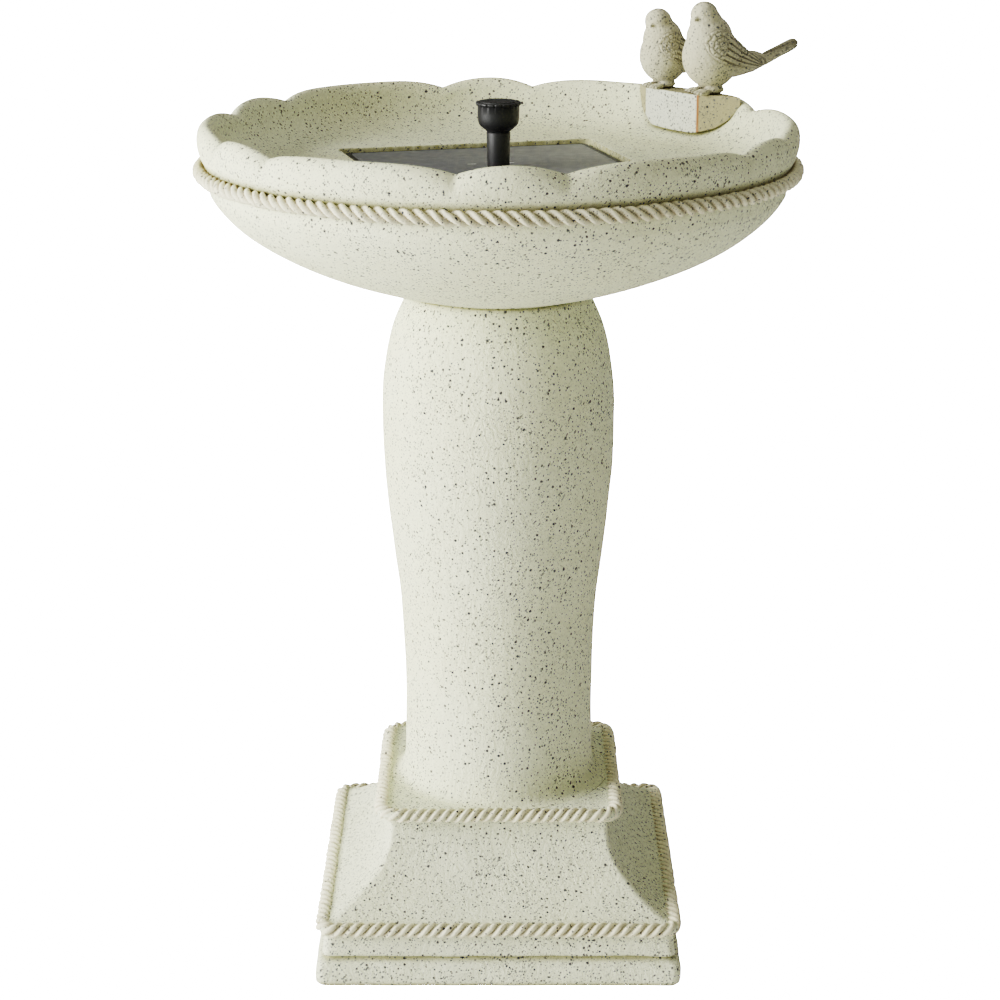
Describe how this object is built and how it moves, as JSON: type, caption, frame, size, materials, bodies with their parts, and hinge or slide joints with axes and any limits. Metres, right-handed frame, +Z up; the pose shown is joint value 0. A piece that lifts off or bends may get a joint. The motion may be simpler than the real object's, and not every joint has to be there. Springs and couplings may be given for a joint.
{
  "type": "bird bath",
  "caption": "Cast-stone pedestal bird bath with a scalloped lift-off bowl, a removable solar fountain and small birds perched on the rim.",
  "frame": {"origin": "centre of the square base's underside, on the axis of the column and the bowl", "axes": "+Z up along the column; +X to the side of the bowl that carries the birds, seen from the front; -Y to the front"},
  "size_m": [0.406, 0.3996, 0.633],
  "materials": {
    "pedestal_stone": "speckled cream cast stone, lightly trowelled",
    "bowl_stone": "speckled cream cast stone, smooth worn rim",
    "figure_stone": "warm taupe cast stone with fine dark speckle",
    "perch_stone": "pale cast stone, smooth front face",
    "mortar": "pale jointing mortar",
    "black_plastic": "matte black moulded plastic",
    "panel_cover": "clear laminate over the cells, satin",
    "solar_cell": "dark grey crystalline cells",
    "rubber_black": "soft black rubber",
    "filter_foam": "open-cell filter foam",
    "steel": "small stainless screws",
    "copper_winding": "enamelled copper wire",
    "circuit_board": "green circuit board",
    "ceramic_white": "polished white ceramic"
  },
  "bodies": {
    "pedestal": {"base_casting": "pedestal_stone", "column_casting": "pedestal_stone", "column_mortar_fillet": "mortar"},
    "bowl": {"bowl_casting": "bowl_stone", "perch_block": "perch_stone", "perch_adhesive": "mortar", "bird_left": "figure_stone", "bird_right": "figure_stone"},
    "fountain": {"panel_tray": "black_plastic", "solar_cells": "solar_cell", "panel_cover_glass": "panel_cover", "tray_foot_1": "rubber_black", "tray_foot_2": "rubber_black", "tray_foot_3": "rubber_black", "tray_foot_4": "rubber_black", "pump_housing": "black_plastic", "volute_cover": "black_plastic", "rotor_shaft": "ceramic_white", "stator_winding": "copper_winding", "driver_board": "circuit_board", "flange_screw_1": "steel", "flange_screw_2": "steel", "flange_screw_3": "steel", "flange_screw_4": "steel", "intake_strainer": "black_plastic", "filter_sponge": "filter_foam"},
    "rotor": {"impeller": "black_plastic"},
    "riser": {"riser_tube": "black_plastic"},
    "spray_head": {"spray_head": "black_plastic", "rose_disc": "black_plastic"}
  },
  "joints": [
    {"name": "bowl_lift", "type": "slide", "parent": "pedestal", "child": "bowl", "axis": [0, 0, 1], "range_m": [0, 0.04]},
    {"name": "fountain_lift", "type": "slide", "parent": "bowl", "child": "fountain", "axis": [0, 0, 1], "range_m": [0, 0.12]},
    {"name": "impeller_spin", "type": "hinge", "parent": "fountain", "child": "rotor", "pos_m": [-0.02, 0, 0.49], "axis": [0, 0, 1], "continuous": true},
    {"name": "riser_pull", "type": "slide", "parent": "fountain", "child": "riser", "axis": [0, 0, 1], "range_m": [0, 0.02]},
    {"name": "spray_head_pull", "type": "slide", "parent": "riser", "child": "spray_head", "axis": [0, 0, 1], "range_m": [0, 0.015]}
  ]
}
